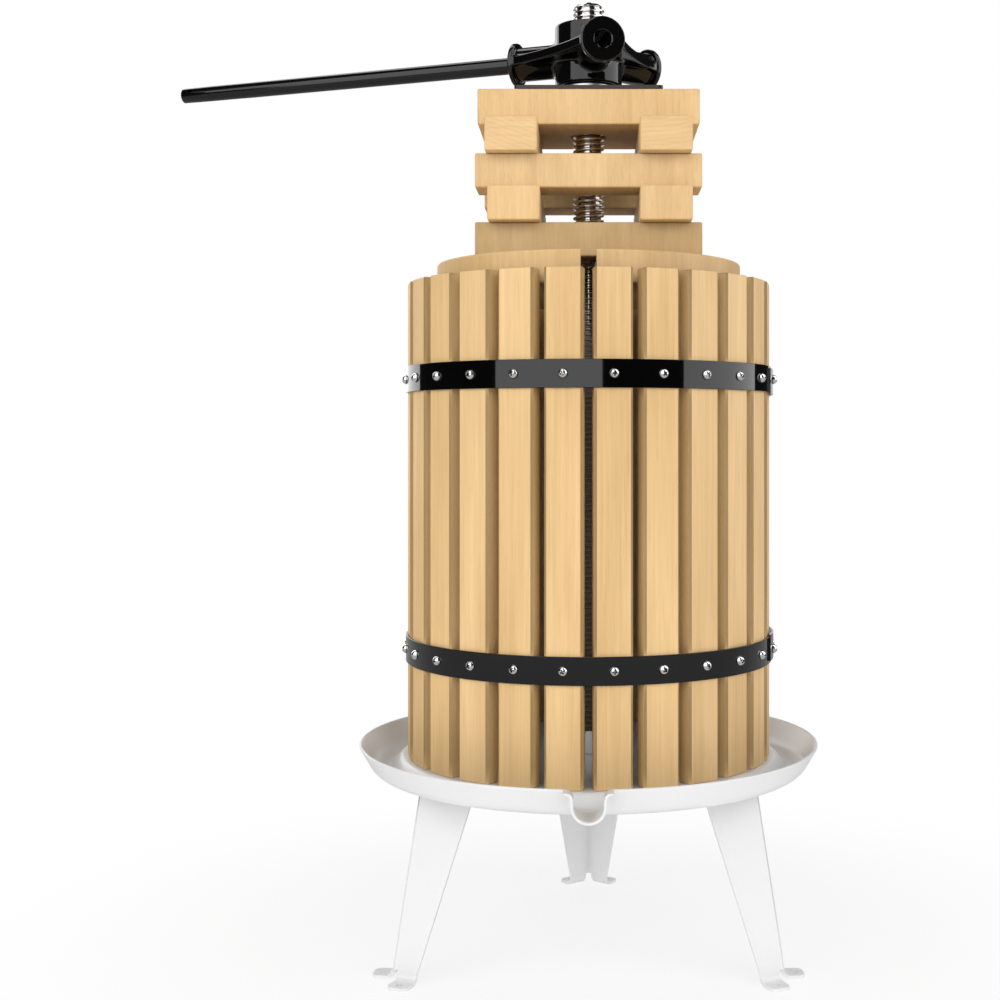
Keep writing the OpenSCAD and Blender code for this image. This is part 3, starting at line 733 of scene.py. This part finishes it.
# Tray in millimetres: rim radius, reach of the spout, hole for the spindle, and the wall's slope
TRAY_R, LIP, TRAY_HOLE = 177.3, 188.8, 12.25
SHEET_HALF = SHEET_T / MM / 2
WALL_SLOPE = math.radians(60)


def tray_lines():
    """Middle line of the tray's sheet, in radius and height from the ground, in millimetres."""
    foot, gutter, bend = 140.0, 157.0, 15.0
    half, slope = SHEET_HALF, WALL_SLOPE
    base, step_in, run, rise = foot + half, 143.1, 12.0, 9.5
    line = [(TRAY_HOLE, base + rise), (step_in, base + rise)]
    line += [(step_in + run * t, base + rise * (1 + math.cos(math.pi * t)) / 2)
             for t in np.linspace(0, 1, 17)[1:]]
    line += [(gutter + (bend - half) * math.sin(a), base + (bend - half) * (1 - math.cos(a)))
             for a in np.linspace(0, slope, 13)]
    r, z = line[-1]
    more = TRAY_R - half * math.sin(slope) - r
    line.append((r + more, z + more * math.tan(slope)))
    return np.array(line)


TRAY_LINE = tray_lines()
RIM_END = TRAY_LINE[-1][1]


def line_distance(u, v, line):
    best = np.full(np.shape(u), 1e6)
    for (u0, v0), (u1, v1) in zip(line[:-1], line[1:]):
        du, dv = u1 - u0, v1 - v0
        share = np.clip(((u - u0) * du + (v - v0) * dv) / (du * du + dv * dv), 0, 1)
        best = np.minimum(best, np.hypot(u - u0 - share * du, v - v0 - share * dv))
    return best


def tray_distance(x, y, z):
    """Distance to the pressed tray's sheet in millimetres."""
    r = np.hypot(x, y)
    past_rim = r - TRAY_LINE[-1, 0]
    level = np.interp(r, TRAY_LINE[:, 0], TRAY_LINE[:, 1])
    level = np.where(past_rim > 0, RIM_END + past_rim * math.tan(WALL_SLOPE), level)
    above = np.where(z > level, -1, 1) * line_distance(r, z, TRAY_LINE)
    wide, centre, flare = 11.2, 152.3, 4.6
    top, side = RIM_END + 0.2, np.abs(x)
    under = top - flare
    arc = [(wide * math.sin(a), centre - wide * math.cos(a)) for a in np.linspace(0, math.pi / 2, 13)]
    arc += [(wide + flare * (1 - math.cos(a)), under + flare * math.sin(a))
            for a in np.linspace(0, math.pi / 2, 9)]
    floor = np.where(side < wide, centre - np.sqrt(np.maximum(wide ** 2 - side ** 2, 0)),
                     under + np.sqrt(np.maximum(flare ** 2 - (wide + flare - side) ** 2, 0)))
    channel = np.where((z > floor) & (side < wide + flare), -1, 1) * line_distance(side, z, np.array(arc))
    channel = np.where(y < 0, np.maximum(channel, y + 156), 50)
    sheet = blend(above, channel, 3.0)
    past = np.maximum(np.maximum(z - RIM_END, -LIP + SHEET_HALF - y), TRAY_HOLE + SHEET_HALF - r)
    return np.hypot(sheet, np.maximum(past, 0)) - SHEET_HALF


def join(points, quads, near=1e-6):
    """Joins points that lie together and drops the faces that then lie twice."""
    _, first, back = np.unique(np.round(points / near), axis=0, return_index=True, return_inverse=True)
    quads = back.reshape(-1)[quads]
    _, kept = np.unique(np.sort(quads, 1), axis=0, return_index=True)
    return points[first], quads[np.sort(kept)]


def make_tray():
    radii = np.concatenate([[10.5, 11.4], np.arange(12, 15.1, 0.75), np.arange(22, 140, 9.0),
                            np.arange(141.5, 194, 0.8)])
    turns = np.concatenate([np.arange(-9, 9, 0.3), np.arange(9, 351, 1.8), [351, 351.3]])
    heights = np.arange(138.0, 164.5, 0.72)
    r, t, z = np.meshgrid(radii, np.radians(turns), heights, indexing="ij")
    field = tray_distance(r * np.sin(t), -r * np.cos(t), z)

    def to_place(p):
        r = np.interp(p[:, 0], range(len(radii)), radii)
        t = np.radians(np.interp(p[:, 1], range(len(turns)), turns))
        return np.stack([r * np.sin(t), -r * np.cos(t), np.interp(p[:, 2], range(len(heights)), heights)], 1)

    points, quads = surface_net(field, to_place)
    points = settle(points, tray_distance)
    new_piece("tray_pressed", *join(points * MM, quads), "stand", "white_enamel", "tray", 60)


def make_camera():
    data = bpy.data.cameras.new("camera")
    data.lens = CAMERA_LENS
    data.sensor_width = 36
    data.shift_x, data.shift_y = CAMERA_SHIFT
    camera = bpy.data.objects.new("camera", data)
    camera.location = CAMERA_PLACE
    camera.rotation_euler = (math.radians(90), 0, 0)
    bpy.context.scene.collection.objects.link(camera)
    bpy.context.scene.camera = camera


# Studio, in degrees from the front towards +X. Walls that light the object: (from, to, low, high, strength)
STUDIO_R, STUDIO_TOP = 2.6, 2.6
WALLS = ((-30, 30, 0, 1, 0.95), (-30, 30, 1, 2.6, 1.5), (-75, -30, 0, 1, 1.15), (-75, -30, 1, 2.6, 2.05),
         (30, 75, 0, 1, 1.15), (30, 75, 1, 2.6, 1.9), (-120, -75, 0, 2.6, 0.36), (75, 120, 0, 2.6, 0.32),
         (120, 240, 0, 1, 0.4), (120, 240, 1, 2.6, 1.0))
# Bright boxes and dark cards that only show in gloss: (from, to, low, high). Those that reach the
# top lean in over the object there, and a last card closes the top
SHINES = ((-56.5, 8, 0.28, 1), (-64, 8, 1, 2.6), (58, 122, 0.28, 2.6), (198, 234, 0.28, 2.6))
CARDS = ((8, 58, 0.28, 2.6), (234, 303.5, 0.28, 1), (234, 296, 1, 2.6), (122, 150, 0.28, 1),
         (122, 198, 1, 2.6))
SHINE_GLOW, CARD_GLOW = 2.0, 0.02
LEAN_R, LEAN_TOP = 0.6, 2.9
WORLD_LIGHT = 0.3
# Floor: its colour and its own glow, towards surfaces near and far, gloss and the camera, which sees
# it fade to white
FLOOR_REACH = 12
FLOOR_COLOUR, SEEN_COLOUR = 0.6, 0.33
FLOOR_LIGHT, SHINE_LIGHT, SEEN_LIGHT = (0.62, 0.15), 0.05, 0.725
GLOW_NEAR, GLOW_FAR = 0.45, 1.05
FADE_NEAR, FADE_FAR = 0.12, 0.55


def arc_wall(name, start, end, low, high, strength, lean=False):
    """Glowing wall on a circle round the object, which the camera doesn't see."""
    steps = max(int((end - start) / 4), 2)
    levels = [(STUDIO_R, low), (STUDIO_R, high)] + ([(LEAN_R, LEAN_TOP)] if lean else [])
    points = [front(start + (end - start) * i / steps, r, z) for i in range(steps + 1) for r, z in levels]
    n = len(levels)
    faces = [(n * i + k, n * i + n + k, n * i + n + k + 1, n * i + k + 1)
             for i in range(steps) for k in range(n - 1)]
    return stage_light(name, points, faces, strength)


def stage_light(name, points, faces, strength):
    light = loose(name, points, faces)
    light.data.materials.append(glow(name, strength))
    light.visible_camera = False
    light.visible_shadow = False
    return light


def glow(name, strength):
    material = bpy.data.materials.new(name)
    material.use_nodes = True
    tree = material.node_tree
    tree.nodes.clear()
    out = tree.nodes.new("ShaderNodeOutputMaterial")
    light = tree.nodes.new("ShaderNodeEmission")
    light.inputs["Strength"].default_value = strength
    tree.links.new(light.outputs[0], out.inputs["Surface"])
    return material


def make_walls():
    """Walls that only light the object, and boxes and dark cards that only its gloss shows."""
    for i, (start, end, low, high, strength) in enumerate(WALLS):
        arc_wall("wall_%d" % i, start, end, low, high, strength).visible_glossy = False
    for name, pieces, strength in (("shine_%d", SHINES, SHINE_GLOW), ("card_%d", CARDS, CARD_GLOW)):
        for i, (start, end, low, high) in enumerate(pieces):
            arc_wall(name % i, start, end, low, high, strength, high == STUDIO_TOP).visible_diffuse = False
    ring = [front(a, LEAN_R, LEAN_TOP) for a in range(0, 360, 10)]
    stage_light("card_top", ring, [tuple(range(len(ring)))], CARD_GLOW).visible_diffuse = False


def make_world():
    """Even light from all round, and white where the camera, gloss or glass looks past the object."""
    scene = bpy.context.scene
    scene.world = bpy.data.worlds.new("studio")
    scene.world.use_nodes = True
    tree = scene.world.node_tree
    path = tree.nodes.new("ShaderNodeLightPath")
    seen = path.outputs["Is Camera Ray"]
    for kind in ("Is Glossy Ray", "Is Transmission Ray"):
        either = tree.nodes.new("ShaderNodeMath")
        either.operation = "MAXIMUM"
        tree.links.new(seen, either.inputs[0])
        tree.links.new(path.outputs[kind], either.inputs[1])
        seen = either.outputs[0]
    level = tree.nodes.new("ShaderNodeMapRange")
    level.inputs["To Min"].default_value = WORLD_LIGHT
    tree.links.new(seen, level.inputs["Value"])
    background = tree.nodes["Background"]
    background.inputs["Color"].default_value = (1, 1, 1, 1)
    tree.links.new(level.outputs["Result"], background.inputs["Strength"])
    scene.view_settings.view_transform = "Standard"
    scene.cycles.diffuse_bounces = 1


def make_floor():
    """Pale floor that keeps the object's shadow and fades to white away from it."""
    far = FLOOR_REACH
    floor = loose("floor", [(-far, -far, 0), (far, -far, 0), (far, far, 0), (-far, far, 0)], [(0, 1, 2, 3)])
    s = Shader("floor")
    away = s.add("ShaderNodeVectorMath", Vector=s.add("ShaderNodeTexCoord").outputs["Object"])
    away.operation = "LENGTH"
    spans = []
    for start, end in ((GLOW_NEAR, GLOW_FAR), (FADE_NEAR, FADE_FAR)):
        span = s.add("ShaderNodeMapRange", Value=away.outputs["Value"], From_Min=start, From_Max=end)
        span.interpolation_type = "SMOOTHSTEP"
        spans.append(s.math("SUBTRACT", 1.0, span.outputs["Result"]))
    glowing, shaded = spans
    path = s.add("ShaderNodeLightPath")
    seen = s.math("ADD", path.outputs["Is Camera Ray"], path.outputs["Is Transmission Ray"])
    change = s.math("MULTIPLY_ADD", shaded, SEEN_COLOUR, -FLOOR_COLOUR)
    grey = s.math("MULTIPLY_ADD", seen, change, FLOOR_COLOUR)
    s.set(Base_Color=s.grey(grey))
    s.set(Roughness=1.0)
    s.surface.inputs["Specular IOR Level"].default_value = 0.0
    level = s.math("MULTIPLY", seen, s.math("MULTIPLY_ADD", shaded, SEEN_LIGHT - 1, 1.0))
    close, beyond = FLOOR_LIGHT
    lit = s.math("MULTIPLY_ADD", glowing, close - beyond, beyond)
    for kind, strength in (("Is Diffuse Ray", lit), ("Is Glossy Ray", SHINE_LIGHT)):
        level = s.math("MULTIPLY_ADD", path.outputs[kind], strength, level)
    s.set(Emission_Color=(1, 1, 1, 1), Emission_Strength=level)
    floor.data.materials.append(s.material)


make_camera()
make_staves()
make_blocks()
make_hoops()
make_screws()
make_spindle()
make_handle()
make_hub()
make_tray()
soften_nodes()
make_walls()
make_world()
make_floor()
